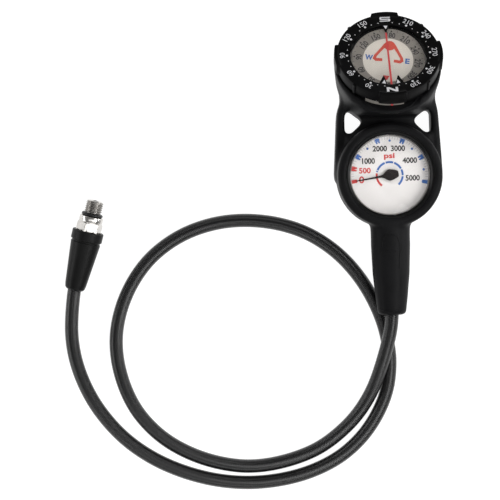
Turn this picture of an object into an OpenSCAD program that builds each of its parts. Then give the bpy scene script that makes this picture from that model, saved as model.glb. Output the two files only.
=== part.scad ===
// Inline two-gauge dive console on a braided high-pressure hose.
// The console lies on its back: origin on the floor under the gauge axis, +Y towards the
// compass, +Z up. All sizes are millimetres.

/* [Console boot] */
// Outer radius of the gauge cup
cup_r = 33; // [32:0.1:36]
// Height of the gauge cup's rim above the floor
cup_h = 30; // [29.4:0.1:33]
// Thickness of the boot's back under the modules
boot_floor = 3; // [2.5:0.1:4]
// Half width of the console across the arms
arm_reach = 32.6; // [31.5:0.1:34]
// Width of each side arm
arm_w = 5.6; // [5:0.1:7]
// Height of the side arms
arm_h = 16; // [12:0.5:20]
// Corner radius of the two side slots
slot_r = 2.4; // [1.5:0.1:2.8]
// Length of the side slots along the console
slot_len = 20.4; // [17:0.2:21]
// Distance of the slots' centre in front of the gauge axis
slot_y = 33.6; // [32.5:0.1:35.5]
// Height of the handle's axis above the floor
handle_z = 16; // [15.5:0.1:17]
// Radius of the handle where it leaves the gauge cup
handle_r = 12.8; // [12.4:0.1:14]
// Radius of the handle near its end
handle_end_r = 9.2; // [8.8:0.1:10]
// Distance from the gauge axis to the handle's end
handle_len = 88; // [86:0.5:92]

/* [Gauge module] */
// Outer radius of the gauge case
case_r = 28.2; // [28:0.1:28.4]
// Height of the gauge case
case_h = 23; // [22.5:0.1:23.5]
// Thickness of the case back
case_back = 2.5; // [2:0.1:3]
// Thickness of the case wall round the movement
case_wall = 4.6; // [4.2:0.1:5.2]
// Width of the rim round the dial that the lens seal sits in
dial_rim = 3.3; // [3:0.1:3.7]
// Thickness of the dial
dial_t = 0.8; // [0.5:0.1:1]
// Height of the dial's underside above the case back's outer face
dial_level = 16.6; // [16.4:0.1:17]
// Thickness of the gauge lens
lens_t = 2.4; // [2:0.1:2.5]
// Width of the lens ring
lens_ring_w = 2.9; // [2.6:0.1:3.6]
// Thickness of the lens ring
lens_ring_t = 2.4; // [2:0.1:2.6]
// Length of the needle from its pivot to its tip
needle_len = 21; // [18:0.5:23]
// Clockwise travel of the needle from zero to full scale
needle_sweep = 201; // [180:1:220]
// Direction of the needle at zero, counter-clockwise from +X
needle_zero = 189.3; // [185:0.1:195]

/* [Gauge movement] */
// Teeth on the pinion
pinion_teeth = 12; // [10:1:14]
// Reduction from the pinion to the toothed sector
sector_ratio = 8; // [7:1:9]
// Tooth module of the pinion and the sector
tooth_module = 0.2333; // [0.2:0.01:0.25]
// Direction of the sector's pivot from the pinion, counter-clockwise from +X
sector_dir = 225; // [215:1:235]
// Length of the sector's tail from its pivot to the link pin
tail_len = 5; // [4.5:0.1:5.5]
// Room between the case wall and the middle of the Bourdon tube
tube_room = 3; // [2.6:0.1:3.6]
// Radius of the arbors' pivots
pivot_r = 0.6; // [0.5:0.05:0.7]
// Radial clearance of a running fit
run_gap = 0.05; // [0.02:0.01:0.08]

/* [Compass module] */
// Lean of the compass towards its far edge
lean = 34; // [28:0.5:38]
// Distance from the gauge axis to the compass axis at the bezel face
compass_y = 75.2; // [74.5:0.1:78]
// Height of the bezel face's centre above the floor
compass_z = 33.5; // [33:0.1:36]
// Turn of the module in its cup, counter-clockwise
module_turn = 1.5; // [-5:0.5:5]
// Radius of the bezel between its grip blocks
bezel_r = 32.3; // [31.8:0.1:32.6]
// How far the grip blocks stand out of the bezel
block_out = 1.7; // [1:0.1:2]
// Height of the bezel's side wall between the blocks
bezel_h = 8.5; // [7.8:0.1:8.6]
// Radius of the bezel's window
bezel_view_r = 23.9; // [23:0.1:24.5]
// Outer radius of the capsule's wall
capsule_r = 28.5; // [28:0.1:28.8]
// Wall of the capsule
capsule_wall = 2.4; // [2:0.1:2.6]
// Depth of the capsule below the bezel face
capsule_d = 15.2; // [15:0.1:15.8]
// Radius of the compass card
card_r = 23.2; // [22.6:0.1:23.4]
// Depth of the card's pivot below the bezel face
card_level = 7; // [6.8:0.1:7.4]
// How much nearer to level the card floats than the module
card_float = 8; // [0:0.5:8.5]

/* [Hose and swivel] */
// Outer diameter of the braided hose
hose_d = 8.6; // [8.4:0.1:8.8]
// Radius of the gauge's port stem
stem_r = 4.9; // [4.6:0.1:5]
// Radius of the air spool
spool_r = 2.5; // [2.2:0.1:2.7]
// Width across flats of the coupling nut in the handle
nut_af = 13.6; // [13:0.1:14.5]
// Length of the coupling nut
nut_len = 17; // [16:0.5:18]

/* [Hose end] */
// Length of the rubber hose protector
protector_len = 38.5; // [37:0.5:42]
// Radius of the protector at the hose
protector_r = 6.5; // [6.2:0.1:7]
// Radius of the protector's collar
collar_r = 10; // [9.6:0.1:10.5]
// Width across flats of the fitting's hexagon
hex_af = 14.3; // [13.8:0.1:15]
// Length of the hexagon that stands out of the protector
hex_len = 6; // [5:0.1:7]
// Radius of the fitting's shoulder
shoulder_r = 7.6; // [7:0.1:8]
// Length of the fitting's shoulder
shoulder_len = 3.6; // [3:0.1:4]
// Radius of the 7/16 in thread over its crests
thread_r = 5.556; // [5.4:0.001:5.7]
// Length of the threaded end
thread_len = 8; // [7:0.1:10]

/* [Hidden] */
$fn = 64;
e = 0.01;       // overrun of a cut past a face
fit = 0.1;      // clearance of a seated piece in its bore

// gauge levels, from the floor
case_z = boot_floor;
case_top = case_z + case_h;
case_in = case_z + case_back;
dial_z = case_z + dial_level;
case_bore_r = case_r - case_wall;
dial_r = case_r - dial_rim;
tube_r = case_bore_r - tube_room;
lens_seat_r = case_r - 1.0;
lens_seat_z = case_top - 4;
lens_ledge_r = dial_r + fit;
lens_view_r = case_r - lens_ring_w;
boot_lip_r = case_r - 1.3;
o_ring_t = 1.5;
lens_z = lens_seat_z + o_ring_t + e;
plate_t = 1.2;
low_plate_z = case_in + 2;
pillar_z = low_plate_z + plate_t;
high_plate_z = 14.6;
needle_z = dial_z + dial_t + 0.9;

// movement plan
pinion_pitch_r = pinion_teeth * tooth_module / 2;
sector_pitch_r = pinion_pitch_r * sector_ratio;
centre_dist = pinion_pitch_r + sector_pitch_r;
sector_pos = centre_dist * [cos(sector_dir), sin(sector_dir)];
sector_travel = needle_sweep / sector_ratio;
tail_dir = 88;
link_pin = sector_pos + tail_len * [cos(tail_dir), sin(tail_dir)];
tip_dir = 190;
tip_pos = (tube_r - 2.4) * [cos(tip_dir), sin(tip_dir)];
link_chord = 2 * tail_len * sin(sector_travel / 2);
chord_dir = tail_dir + 90 + sector_travel / 2;
gear_z = 11;
gear_t = 1.2;
link_z = gear_z + gear_t + 0.5;
link_t = 0.8;
pin_r = 0.5;
slot_gap = 0.2;
tube_z = 7;
tube_h = 5;
tube_t = 2.2;
tube_start = 290;
pillar_at = [[9.5, 4.5], [-3.5, 9.5], [1.5, -9.5]];
pillar_r = 1.5;
spring_turns = 3;
spring_z = gear_z + gear_t + 0.8;

// swivel stations along the handle, measured from the gauge axis towards the handle's end
flange_t = 2.8;
nut_from = case_r + 1.3;
spool_from = nut_from + 2;
stem_out = spool_from + 7.5;
spool_to = stem_out + 6;
ferrule_from = nut_from + nut_len + 10.5;
hose_from = ferrule_from + 17;

// compass depths below the bezel face
lens_top_w = -1.9;
lens_low_w = -3.3;
flange_top_w = -9.3;
flange_low_w = -12.5;
rim_w = -10;
back_t = 1.8;
diaphragm_r = 10;
diaphragm_t = 0.8;
diaphragm_ring_out = 1;
diaphragm_ring_in = 2.5;
diaphragm_ring_t = 1;
fill_screw_at = 18;
fill_screw_r = 1.5;
groove_r = capsule_r - 0.6;
groove_w = [-4.4, -3.4];
flange_r = bezel_r - 0.9;
boot_cup_r = bezel_r + 1.3;
block_r = bezel_r + block_out;
block_half = 15;
window_w = 36;
cup_lip = 4.3;

// hose end
end_dir = 15.1;
hex_roll = -15;
grip_r = 9.5;
groove_len = 1.6;
collar_len = 6;
hose_end_in = 12;
end_pos = [-201, -68];
end_reach = protector_len - collar_len;
end_tilt = atan((collar_r - protector_r) / end_reach);
end_z = protector_r * cos(end_tilt) + 0.02;

// Points that the hose's centre line passes, from the stem's ferrule to the end ferrule
hose_route = [
    [0, -74, 16], [0, -88, 16], [-1.1, -98, 15.4], [-3.2, -107, 14], [-7, -120, 11.6],
    [-12.3, -134.5, 7.8], [-20.8, -149, 5], [-32.6, -161.6, 4.4], [-49, -173, 4.4], [-71, -180.6, 4.4],
    [-95, -182.9, 4.4], [-121, -177.5, 4.4], [-145, -165, 4.4], [-163, -146, 4.4], [-173, -122, 4.4],
    [-175, -97, 4.4], [-168, -72, 4.4], [-153, -50, 4.4], [-131, -34.5, 4.4], [-105, -27, 4.4],
    [-78, -27.5, 4.4], [-53, -35, 4.4], [-32, -49.5, 4.4], [-16.5, -68.5, 4.4], [-6.5, -89, 4.4],
    [-2, -107, 4.4], [-1.3, -123, 4.4], [-5, -141, 4.4], [-16.2, -161.2, 4.4], [-34.2, -178, 4.4],
    [-59.2, -189.1, 4.4], [-89, -193.4, 4.4], [-119, -190.1, 4.4], [-148.2, -179.4, 4.4], [-172, -162.8, 4.4],
    [-190, -140.5, 4.4], [-200.5, -116, 4.4], [-203.5, -93, 4.7], [-201, -68, 6.5], [-197.9, -56.5, 7.8]];

// ---- helpers ----

// Points of an arc round c, counter-clockwise for a rising angle
function arc(c, r, from, to, steps = 6) =
    [for (i = [0:steps]) c + r * [cos(from + (to - from) * i / steps), sin(from + (to - from) * i / steps)]];

// Outline of a rectangle that stands on the axis, with its corners rounded
function rounded(w, h, r) = concat(arc([w / 2 - r, r], r, -90, 0, 4), arc([w / 2 - r, h - r], r, 0, 90, 4),
    arc([-w / 2 + r, h - r], r, 90, 180, 4), arc([-w / 2 + r, r], r, 180, 270, 4));

// Outline of a triangle with rounded corners, its points given counter-clockwise
function round_triangle(p, r) = [for (i = [0:2])
    let (a = p[(i + 2) % 3] - p[i], b = p[(i + 1) % 3] - p[i],
        u = a / norm(a) + b / norm(b), half = acos(u * a / (norm(u) * norm(a))),
        c = p[i] + u / norm(u) * r / sin(half), mid = atan2(-u[1], -u[0]))
    each arc(c, r, mid - 90 + half, mid + 90 - half, 8)];

// Half of a gear tooth's angle at radius r on an involute of base radius rb
function involute(r, rb) = r <= rb ? 0 : let (a = acos(rb / r)) tan(a) * 180 / PI - a;
function tooth(n, m, r, backlash) = let (rb = n * m / 2 * cos(20))
    (90 - backlash) / n + involute(n * m / 2, rb) - involute(max(r, rb), rb);

// One side of a tooth from root to tip, as points at an angle about the gear's centre
function flank(n, m, tip, root, side, at, backlash) = [for (i = [0:4])
    let (r = side > 0 ? tip + (root - tip) * i / 4 : root + (tip - root) * i / 4,
        a = at + side * tooth(n, m, r, backlash)) r * [cos(a), sin(a)]];
function teeth(n, m, count, first, tip, root, backlash = 9) = [for (k = [0:count - 1])
    let (at = first + k * 360 / n)
    each concat(flank(n, m, tip, root, -1, at, backlash), flank(n, m, tip, root, 1, at, backlash))];

// Points with one more put on the smooth curve between each two
function between(p, i) = (9 * (p[i] + p[i + 1]) - p[max(i - 1, 0)] - p[min(i + 2, len(p) - 1)]) / 16;
function finer(p) = [for (i = [0:2 * len(p) - 2]) i % 2 == 0 ? p[i / 2] : between(p, (i - 1) / 2)];

// Rings of a round tube along points, joined into one closed solid
function unit(v) = v / norm(v);
function heading(p, i) = unit(p[min(i + 1, len(p) - 1)] - p[max(i - 1, 0)]);
function ring(p, i, r, sides) = let (d = heading(p, i), x = unit(cross(d, [0, 0, 1])), y = cross(x, d))
    [for (k = [0:sides - 1]) let (a = (k + 0.5) * 360 / sides) p[i] + r * (x * cos(a) + y * sin(a))];
module tube(p, r, sides) {
    n = len(p);
    points = [for (i = [0:n - 1]) each ring(p, i, r, sides)];
    walls = [for (i = [0:n - 2], k = [0:sides - 1])
        let (a = i * sides + k, b = i * sides + (k + 1) % sides) [a, b, b + sides, a + sides]];
    caps = [[for (k = [sides - 1:-1:0]) k], [for (k = [0:sides - 1]) (n - 1) * sides + k]];
    polyhedron(points, concat(walls, caps), convexity = 8);
}

module pipe(r_out, r_in, h) difference() {
    cylinder(r = r_out, h = h);
    translate([0, 0, -e]) cylinder(r = r_in, h = h + 2 * e);
}
module torus(big, small) rotate_extrude() translate([big, 0]) circle(small, $fn = 24);
module hexagon(across, h) cylinder(r = across / sqrt(3), h = h, $fn = 6);

// Frames: the compass module, its floating card, the handle's axis and the hose end
module compass_frame() translate([0, compass_y, compass_z]) rotate([-lean, 0, 0]) children();
module module_frame() compass_frame() rotate([0, 0, module_turn]) children();
module card_frame() compass_frame() translate([0, 0, -card_level]) rotate([card_float, 0, 0]) children();
module on_handle(t) translate([0, -t, handle_z]) rotate([90, 0, 0]) children();
module on_end(t) translate([end_pos[0], end_pos[1], end_z]) rotate([0, 90 - end_tilt, 90 - end_dir])
    translate([0, 0, t]) children();

// ---- console boot ----

module gauge_cup() rotate_extrude($fn = 96) polygon(concat([[0, 0]],
    arc([cup_r - 3, 3], 3, -90, 0), arc([cup_r - 3.3, cup_h - 3.3], 3.3, 0, 180), [[0, cup_h - 3.3]]));

// The leaning cup runs down into a broad foot, with a lip in front of the side window
module compass_cup() hull() {
    compass_frame() translate([0, 0, rim_w - 3]) cylinder(r = boot_cup_r, h = 3, $fn = 64);
    compass_frame() translate([0, -cup_lip, -14]) cylinder(r = boot_cup_r - 1, h = 3, $fn = 48);
    for (x = [-1, 1]) {
        translate([x * (arm_reach - 11), compass_y - 28, 0]) cylinder(r = 9, h = 4, $fn = 32);
        translate([x * (arm_reach - 15), compass_y + 8, 0]) cylinder(r = 9, h = 3, $fn = 32);
    }
}

module side_arm(side) {
    translate([side * (arm_reach + 0.4 - arm_w / 2), 26, 0]) rotate([90, 0, side * 3.2])
        linear_extrude(50, center = true) polygon(rounded(arm_w, arm_h, 2));
    translate([side * (arm_reach + 1.6 - 6), 0, 0]) cylinder(r = 6, h = arm_h);
}

module side_slot(side) {
    out_x = side * (arm_reach + 0.2 - arm_w);
    in_x = side * (arm_reach - 17.4);
    corners = [[out_x, slot_y - slot_len / 2], [out_x, slot_y + slot_len / 2], [in_x, slot_y + 1]];
    translate([0, 0, -1]) linear_extrude(cup_h + 10)
        polygon(round_triangle(side > 0 ? corners : [corners[1], corners[0], corners[2]], slot_r));
}

module handle() on_handle(0) rotate_extrude() polygon(concat([[0, cup_r - 7], [handle_r, cup_r - 7],
    [handle_r - 0.4, handle_len / 2], [handle_r - 1.1, handle_len * 0.7],
    [handle_end_r + 1.1, handle_len - 12]],
    arc([handle_end_r - 3, handle_len - 3], 3, 0, 90), [[0, handle_len]]));

module console_boot() color("#242425") difference() {
    union() {
        gauge_cup();
        compass_cup();
        handle();
        translate([5.6 - arm_reach, cup_r - 14, 0]) cube([2 * arm_reach - 11.2, 30, arm_h + 2]);
        for (side = [-1, 1]) side_arm(side);
    }
    for (side = [-1, 1]) side_slot(side);
    translate([0, 0, boot_floor]) cylinder(r = case_r + fit, h = case_h + lens_ring_t + fit);
    translate([0, 0, case_top + lens_ring_t]) cylinder(r = boot_lip_r, h = cup_h);
    compass_frame() {
        translate([0, 0, flange_low_w - fit]) cylinder(r = flange_r + fit, h = cup_h);
        translate([0, 0, -capsule_d - fit]) cylinder(r = capsule_r + fit, h = cup_h);
        translate([0, 0, -capsule_d - 3]) cylinder(r = diaphragm_r + 2, h = 5);
        translate([0, 0, rim_w]) cylinder(r = boot_cup_r + 6, h = cup_h);
        translate([-window_w / 2, -flange_r - 20, flange_low_w - fit]) cube([window_w, 26, cup_h]);
    }
    on_handle(case_r - 4) cylinder(r = nut_af / sqrt(3) + 0.4, h = nut_from + nut_len + 1 - case_r + 4);
    on_handle(nut_from + nut_len) cylinder(r = 7, h = hose_from - nut_from - nut_len + 0.4);
    on_handle(hose_from) cylinder(r = hose_d / 2 + 0.3, h = handle_len);
}

// ---- pressure gauge ----

module gauge_case() color("#b89a56") difference() {
    translate([0, 0, case_z]) union() {
        rotate_extrude($fn = 96) polygon([[0, 0], [case_r - 1, 0], [case_r, 1], [case_r, case_h],
            [lens_seat_r, case_h], [lens_seat_r, case_h - 4], [lens_ledge_r, case_h - 4],
            [lens_ledge_r, dial_level], [case_bore_r, dial_level], [case_bore_r, case_back],
            [0, case_back]]);
        for (p = pillar_at) translate([p[0], p[1], case_back - e]) cylinder(r = pillar_r, h = 2 + e);
    }
    translate([-14, 8, case_z - e]) cylinder(r = 3 + run_gap, h = case_back + 2 * e);
    on_handle(case_bore_r - 3) cylinder(r = 3.4, h = 5);
    on_handle(case_r - 2.8) cylinder(r = stem_r + run_gap, h = 5);
}

module relief_plug() color("#1b1b1b") translate([-14, 8, case_z + 0.2]) {
    cylinder(r = 3, h = case_back - 0.4);
}

// The port stem ends inside in the block that carries the tube
module gauge_stem() color("#c9a961") difference() {
    union() {
        on_handle(case_bore_r - 5) cylinder(r = 3.3, h = 7);
        on_handle(case_r - 2.7) cylinder(r = stem_r, h = stem_out - case_r + 2.7);
        rotate([0, 0, tube_start - 32]) rotate_extrude(angle = 32) translate([tube_r - 3, tube_z - 0.8])
            square([5.4, handle_z - 1.5 - tube_z]);
    }
    on_handle(tube_r - 1) cylinder(r = 1.2, h = 20);
    on_handle(spool_from - 0.5) cylinder(r = spool_r + run_gap, h = 20);
}

module bourdon_tube() color("#caa35a") rotate([0, 0, tube_start])
    rotate_extrude(angle = tip_dir + 358 - tube_start, $fn = 96) translate([tube_r, tube_z]) difference() {
        polygon(rounded(tube_t, tube_h, tube_t / 2 - e));
        translate([0, 0.35]) polygon(rounded(tube_t - 0.7, tube_h - 0.7, tube_t / 2 - 0.36));
    }

module tube_tip() color("#c9a961") {
    rotate([0, 0, tip_dir - 2]) rotate_extrude(angle = 4) translate([tube_r - 1.5, tube_z - 0.3])
        square([3, tube_h + 0.6]);
    rotate([0, 0, tip_dir]) translate([tube_r - 3.6, -1.1, gear_z + 0.1]) cube([2.4, 2.2, 1.1]);
    translate([tip_pos[0], tip_pos[1], gear_z + 1]) cylinder(r = pin_r, h = link_z + link_t - gear_z - 0.5);
}

module plate_outline() {
    polygon([sector_pos, pillar_at[2], pillar_at[0], pillar_at[1]]);
    for (p = concat(pillar_at, [sector_pos])) translate(p) circle(3);
}
module lower_plate() color("#d4b56a") translate([0, 0, low_plate_z]) linear_extrude(plate_t) difference() {
    plate_outline();
    circle(pivot_r + run_gap, $fn = 32);
    translate(sector_pos) circle(pivot_r + run_gap, $fn = 32);
}
module upper_plate() color("#d4b56a") {
    translate([0, 0, high_plate_z]) linear_extrude(plate_t) difference() {
        plate_outline();
        circle(pivot_r + run_gap, $fn = 32);
        translate(sector_pos) circle(pivot_r + run_gap, $fn = 32);
        for (p = pillar_at) translate(p) circle(0.62, $fn = 32);
    }
    translate([4.7, 0.6, spring_z - 0.2]) cylinder(r = 0.6, h = high_plate_z - spring_z + 0.2 + e, $fn = 32);
}
module plate_pillars() color("#c9a961") for (p = pillar_at) translate([p[0], p[1], pillar_z]) difference() {
    cylinder(r = pillar_r, h = high_plate_z - pillar_z, $fn = 32);
    translate([0, 0, high_plate_z - pillar_z - 1.8]) cylinder(r = 0.6, h = 2, $fn = 32);
}
module plate_screws() color("#b9bcc0") for (p = pillar_at) translate([p[0], p[1], high_plate_z + plate_t]) {
    difference() {
        cylinder(r = 1.3, h = 0.8, $fn = 32);
        translate([-2, -0.2, 0.4]) cube([4, 0.4, 1]);
    }
    translate([0, 0, -plate_t - 1.6]) cylinder(r = 0.55, h = plate_t + 1.6 + e, $fn = 32);
}

// Spiral from the collet out to the stud under the upper plate
function spiral(offset) = [for (i = [0:20 * spring_turns])
    let (a = i * 18, r = 1.5 + 2.5 * i / (20 * spring_turns) + offset) r * [cos(a), sin(a)]];
module hairspring() color("#7d8894") translate([0, 0, spring_z]) linear_extrude(0.8)
    polygon(concat(spiral(0.08), [for (i = [20 * spring_turns:-1:0]) spiral(-0.08)[i]]));

module gauge_dial() color("#f2f2f0") translate([0, 0, dial_z]) difference() {
    cylinder(r = dial_r, h = dial_t, $fn = 96);
    translate([0, 0, -e]) cylinder(r = 1.2, h = dial_t + 2 * e, $fn = 32);
}
module lens_o_ring() color("#1b1b1b") translate([0, 0, lens_seat_z + o_ring_t / 2])
    torus((lens_ledge_r + lens_seat_r) / 2, o_ring_t / 2 - e);
module gauge_lens() color("#dfeef5", 0.4) translate([0, 0, lens_z])
    cylinder(r = lens_seat_r - fit, h = lens_t, $fn = 96);
module lens_ring() color("#151515") translate([0, 0, case_top]) rotate_extrude($fn = 96)
    polygon([[lens_view_r, 0], [case_r, 0], [case_r, lens_ring_t], [lens_view_r + 1.2, lens_ring_t],
        [lens_view_r, lens_ring_t - 1]]);

module pressure_needle() color("#161616") difference() {
    rotate([0, 0, needle_zero]) translate([0, 0, needle_z]) {
        linear_extrude(0.5) polygon([[needle_len, 0.2], [4.8, 0.5], [3.6, 1], [1.2, 3.3], [0, 3.6],
            [-1.6, 3.3], [-5, 2], [-5.6, 1.2], [-5.6, -1.2], [-5, -2], [-1.6, -3.3], [0, -3.6],
            [1.2, -3.3], [3.6, -1], [4.8, -0.5], [needle_len, -0.2]]);
        translate([0, 0, -0.4]) cylinder(r = pivot_r + 1, h = 1.3, $fn = 32);
    }
    translate([0, 0, dial_z]) cylinder(r = pivot_r + 0.01, h = dial_t + 1.6, $fn = 32);
}

// The arbor's pinion starts with a gap between two teeth towards the sector
module pinion_arbor() color("#c9ccd0") {
    translate([0, 0, low_plate_z + 0.1]) cylinder(r = pivot_r, h = needle_z + 0.2 - low_plate_z, $fn = 32);
    translate([0, 0, gear_z - 0.2]) linear_extrude(gear_t + 0.4)
        polygon(teeth(pinion_teeth, tooth_module, pinion_teeth, sector_dir + 180 / pinion_teeth,
            pinion_pitch_r + 0.8 * tooth_module, pinion_pitch_r - 1.1 * tooth_module));
    translate([0, 0, gear_z + gear_t + 0.5]) cylinder(r = 1, h = 1.2, $fn = 32);
}

module sector_gear() color("#d4b56a") {
    n = pinion_teeth * sector_ratio;
    first = floor(sector_travel / 360 * n) + 3;
    count = first + 4;
    root = sector_pitch_r - 1.1 * tooth_module;
    start = sector_dir + 180 - first * 360 / n;
    span = (count - 1) * 360 / n;
    translate([sector_pos[0], sector_pos[1], gear_z]) {
        linear_extrude(gear_t) difference() {
            union() {
                polygon(concat([[0, 0]], teeth(n, tooth_module, count, start,
                    sector_pitch_r + 0.7 * tooth_module, root)));
                circle(2.2);
                rotate(tail_dir) translate([0, -1]) square([tail_len, 2]);
                rotate(tail_dir) translate([tail_len, 0]) circle(1.2, $fn = 32);
            }
            polygon(concat(arc([0, 0], root - 2, start + 5, start + span - 5),
                arc([0, 0], 3.8, start + span - 8, start + 8)));
            circle(pivot_r + 0.1, $fn = 32);
        }
        rotate([0, 0, tail_dir]) translate([tail_len, 0, gear_t - e]) cylinder(r = pin_r, h = 1.8, $fn = 32);
    }
}
module sector_arbor() color("#c9ccd0") translate([sector_pos[0], sector_pos[1], 0]) {
    translate([0, 0, low_plate_z + 0.1])
        cylinder(r = pivot_r, h = high_plate_z + plate_t - low_plate_z - 0.2, $fn = 32);
    translate([0, 0, gear_z]) cylinder(r = pivot_r + 0.09, h = gear_t, $fn = 32);
    translate([0, 0, gear_z + gear_t + 0.02]) cylinder(r = 1.2, h = 0.4, $fn = 32);
}

// The far eye is a slot, so the pin of the tube's tip keeps clear of it over the whole travel
module tube_link() color("#d9dbde") translate([0, 0, link_z]) linear_extrude(link_t) {
    way = tip_pos - link_pin;
    slide = link_chord * [cos(chord_dir), sin(chord_dir)];
    difference() {
        union() {
            for (p = [link_pin, tip_pos, tip_pos - slide]) translate(p) circle(1.3, $fn = 32);
            translate(link_pin) rotate(atan2(way[1], way[0])) translate([0, -1.2]) square([norm(way), 2.4]);
        }
        translate(link_pin) circle(pin_r + run_gap, $fn = 32);
        for (p = [tip_pos, tip_pos - slide]) translate(p) circle(pin_r + slot_gap, $fn = 32);
        translate(tip_pos) rotate(chord_dir + 180) translate([0, -pin_r - slot_gap])
            square([link_chord, 2 * (pin_r + slot_gap)]);
    }
}

// ---- swivel in the handle ----

module swivel_nut() color("#c3c6ca") on_handle(nut_from) difference() {
    hexagon(nut_af, nut_len);
    translate([0, 0, -e]) cylinder(r = stem_r + run_gap, h = stem_out + flange_t + 0.3 - nut_from);
    cylinder(r = stem_r - 0.9 + run_gap, h = nut_len + 1);
}
module air_spool() color("#c3c6ca") on_handle(spool_from) difference() {
    len = spool_to - spool_from;
    groove = 0.8;
    cylinder(r = spool_r, h = len);
    translate([0, 0, -e]) cylinder(r = 0.8, h = len + 2 * e);
    for (t = [2, len - 3.4]) translate([0, 0, t]) pipe(spool_r + 1, spool_r - groove, 1.4);
}
module spool_o_rings() color("#1b1b1b") for (t = [spool_from + 2.7, spool_to - 2.7])
    on_handle(t) torus(spool_r - 0.38, 0.4);
module hose_stem() color("#c3c6ca") difference() {
    on_handle(0) {
        translate([0, 0, stem_out + 0.2]) cylinder(r = stem_r - 0.3, h = flange_t);
        translate([0, 0, stem_out + 1]) cylinder(r = stem_r - 0.9, h = nut_from + nut_len + 2 - stem_out);
        translate([0, 0, nut_from + nut_len + 0.5]) hexagon(11, 5);
        translate([0, 0, nut_from + nut_len]) cylinder(r = 3.6, h = ferrule_from - nut_from - nut_len);
        translate([0, 0, ferrule_from - e]) cylinder(r = 2.5, h = hose_from - ferrule_from - 2);
    }
    on_handle(stem_out) cylinder(r = spool_r + run_gap, h = spool_to + 0.3 - stem_out);
    on_handle(stem_out) cylinder(r = 1.4, h = hose_from);
}

// A crimped sleeve: two pressed waists between three lands
module ferrule(len, r) rotate_extrude() polygon([[2.6, 0], [r, 0], [r, len * 0.2], [r - 0.5, len * 0.27],
    [r - 0.5, len * 0.4], [r, len * 0.47], [r, len * 0.57], [r - 0.5, len * 0.64], [r - 0.5, len * 0.77],
    [r, len * 0.84], [r, len], [2.6, len]]);
module stem_ferrule() color("#b4b7bb") on_handle(ferrule_from) ferrule(hose_from - ferrule_from, 6.4);

// ---- hose and its first-stage end ----

module pressure_hose() color("#2b2c2e") tube(finer(hose_route), hose_d / 2, 12);
module end_ferrule() color("#b4b7bb") on_end(hose_end_in) ferrule(end_reach - 1.5 - hose_end_in, 6.6);
module hose_protector() color("#202021") on_end(0) difference() {
    rotate_extrude() polygon(concat([[0, 0]], arc([protector_r - 1.5, 1.5], 1.5, -90, 0, 4),
        [[grip_r, end_reach - groove_len], [grip_r - 0.7, end_reach - groove_len + 0.3],
        [grip_r - 0.7, end_reach - 0.3], [collar_r, end_reach]],
        arc([collar_r - 1.2, protector_len - 1.2], 1.2, 0, 90, 4), [[0, protector_len]]));
    translate([0, 0, -e]) cylinder(r = hose_d / 2 + 0.3, h = hose_end_in + 1);
    translate([0, 0, hose_end_in]) cylinder(r = 6.8, h = end_reach - hose_end_in);
    translate([0, 0, end_reach - 1]) cylinder(r = hex_af / sqrt(3) + fit, h = protector_len);
}
module port_fitting() color("#d8dadc") on_end(0) difference() {
    hex_top = protector_len + hex_len;
    union() {
        translate([0, 0, hose_end_in + 2]) cylinder(r = 2.5, h = end_reach - hose_end_in);
        translate([0, 0, end_reach - 0.8]) intersection() {
            rotate([0, 0, hex_roll]) hexagon(hex_af, hex_top - end_reach + 0.8);
            cylinder(r1 = hex_af / 2 + 3.6, r2 = hex_af / 2 + 0.4, h = hex_top - end_reach + 0.8);
        }
        translate([0, 0, hex_top - e]) cylinder(r = shoulder_r, h = shoulder_len + e);
        translate([0, 0, hex_top + shoulder_len - e]) cylinder(r = thread_r - 1, h = 2.3);
        translate([0, 0, hex_top + shoulder_len + 2.2]) {
            cylinder(r = thread_r, h = thread_len - 0.6);
            cylinder(r = thread_r - 0.7, h = thread_len);
        }
    }
    cylinder(r = 0.8, h = 100);
    translate([0, 0, hex_top]) cylinder(r = 2.4, h = 100);
}
module fitting_o_ring() color("#1b1b1b") on_end(protector_len + hex_len + shoulder_len + 1.1)
    torus(thread_r + 0.15, 1.09);

// ---- compass ----

module bezel_sector(centre, half, outline) rotate([0, 0, centre - half])
    rotate_extrude(angle = 2 * half) polygon(outline);
module bezel_tab(r_base, half_w, r_tip) translate([0, 0, -1.4]) linear_extrude(0.5)
    polygon([[-half_w, r_base], [half_w, r_base], [0, r_tip]]);

module compass_bezel() color("#1a1a1b") module_frame() {
    inner = capsule_r + 0.09;
    difference() {
        union() {
            rotate_extrude($fn = 96) polygon([[bezel_view_r, -1.6], [bezel_view_r, -0.8],
                [bezel_view_r + 0.5, -0.6], [bezel_r - 0.9, 0], [bezel_r, -0.9], [bezel_r, -bezel_h],
                [inner, -bezel_h], [inner, -1.6]]);
            for (k = [0:3]) {
                bezel_sector(k * 90, block_half, [[bezel_r - 2.4, -3], [bezel_r - 2.4, 0.2], [bezel_r - 1.8, 0.8],
                    [block_r - 0.8, 0.8], [block_r, 0], [block_r, -bezel_h - 0.5],
                    [bezel_r - 0.2, -bezel_h - 0.5], [bezel_r - 0.2, -3]]);
                bezel_sector(k * 90 + 45, 1.8, [[bezel_r - 0.6, -bezel_h], [bezel_r + 0.9, -bezel_h],
                    [bezel_r + 0.9, -1], [bezel_r - 0.6, -0.6]]);
            }
            bezel_tab(bezel_view_r + 1, 2.6, 18.5);
            for (a = [167, 193]) rotate([0, 0, a]) bezel_tab(bezel_view_r + 1, 2.8, 17.8);
        }
        translate([0, 0, groove_w[0] - 0.1]) cylinder(r = inner + 0.5, h = groove_w[1] - groove_w[0] + 0.2);
    }
}
module bezel_o_ring() color("#1b1b1b") module_frame() translate([0, 0, (groove_w[0] + groove_w[1]) / 2])
    torus(capsule_r - 0.07, 0.49);

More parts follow.
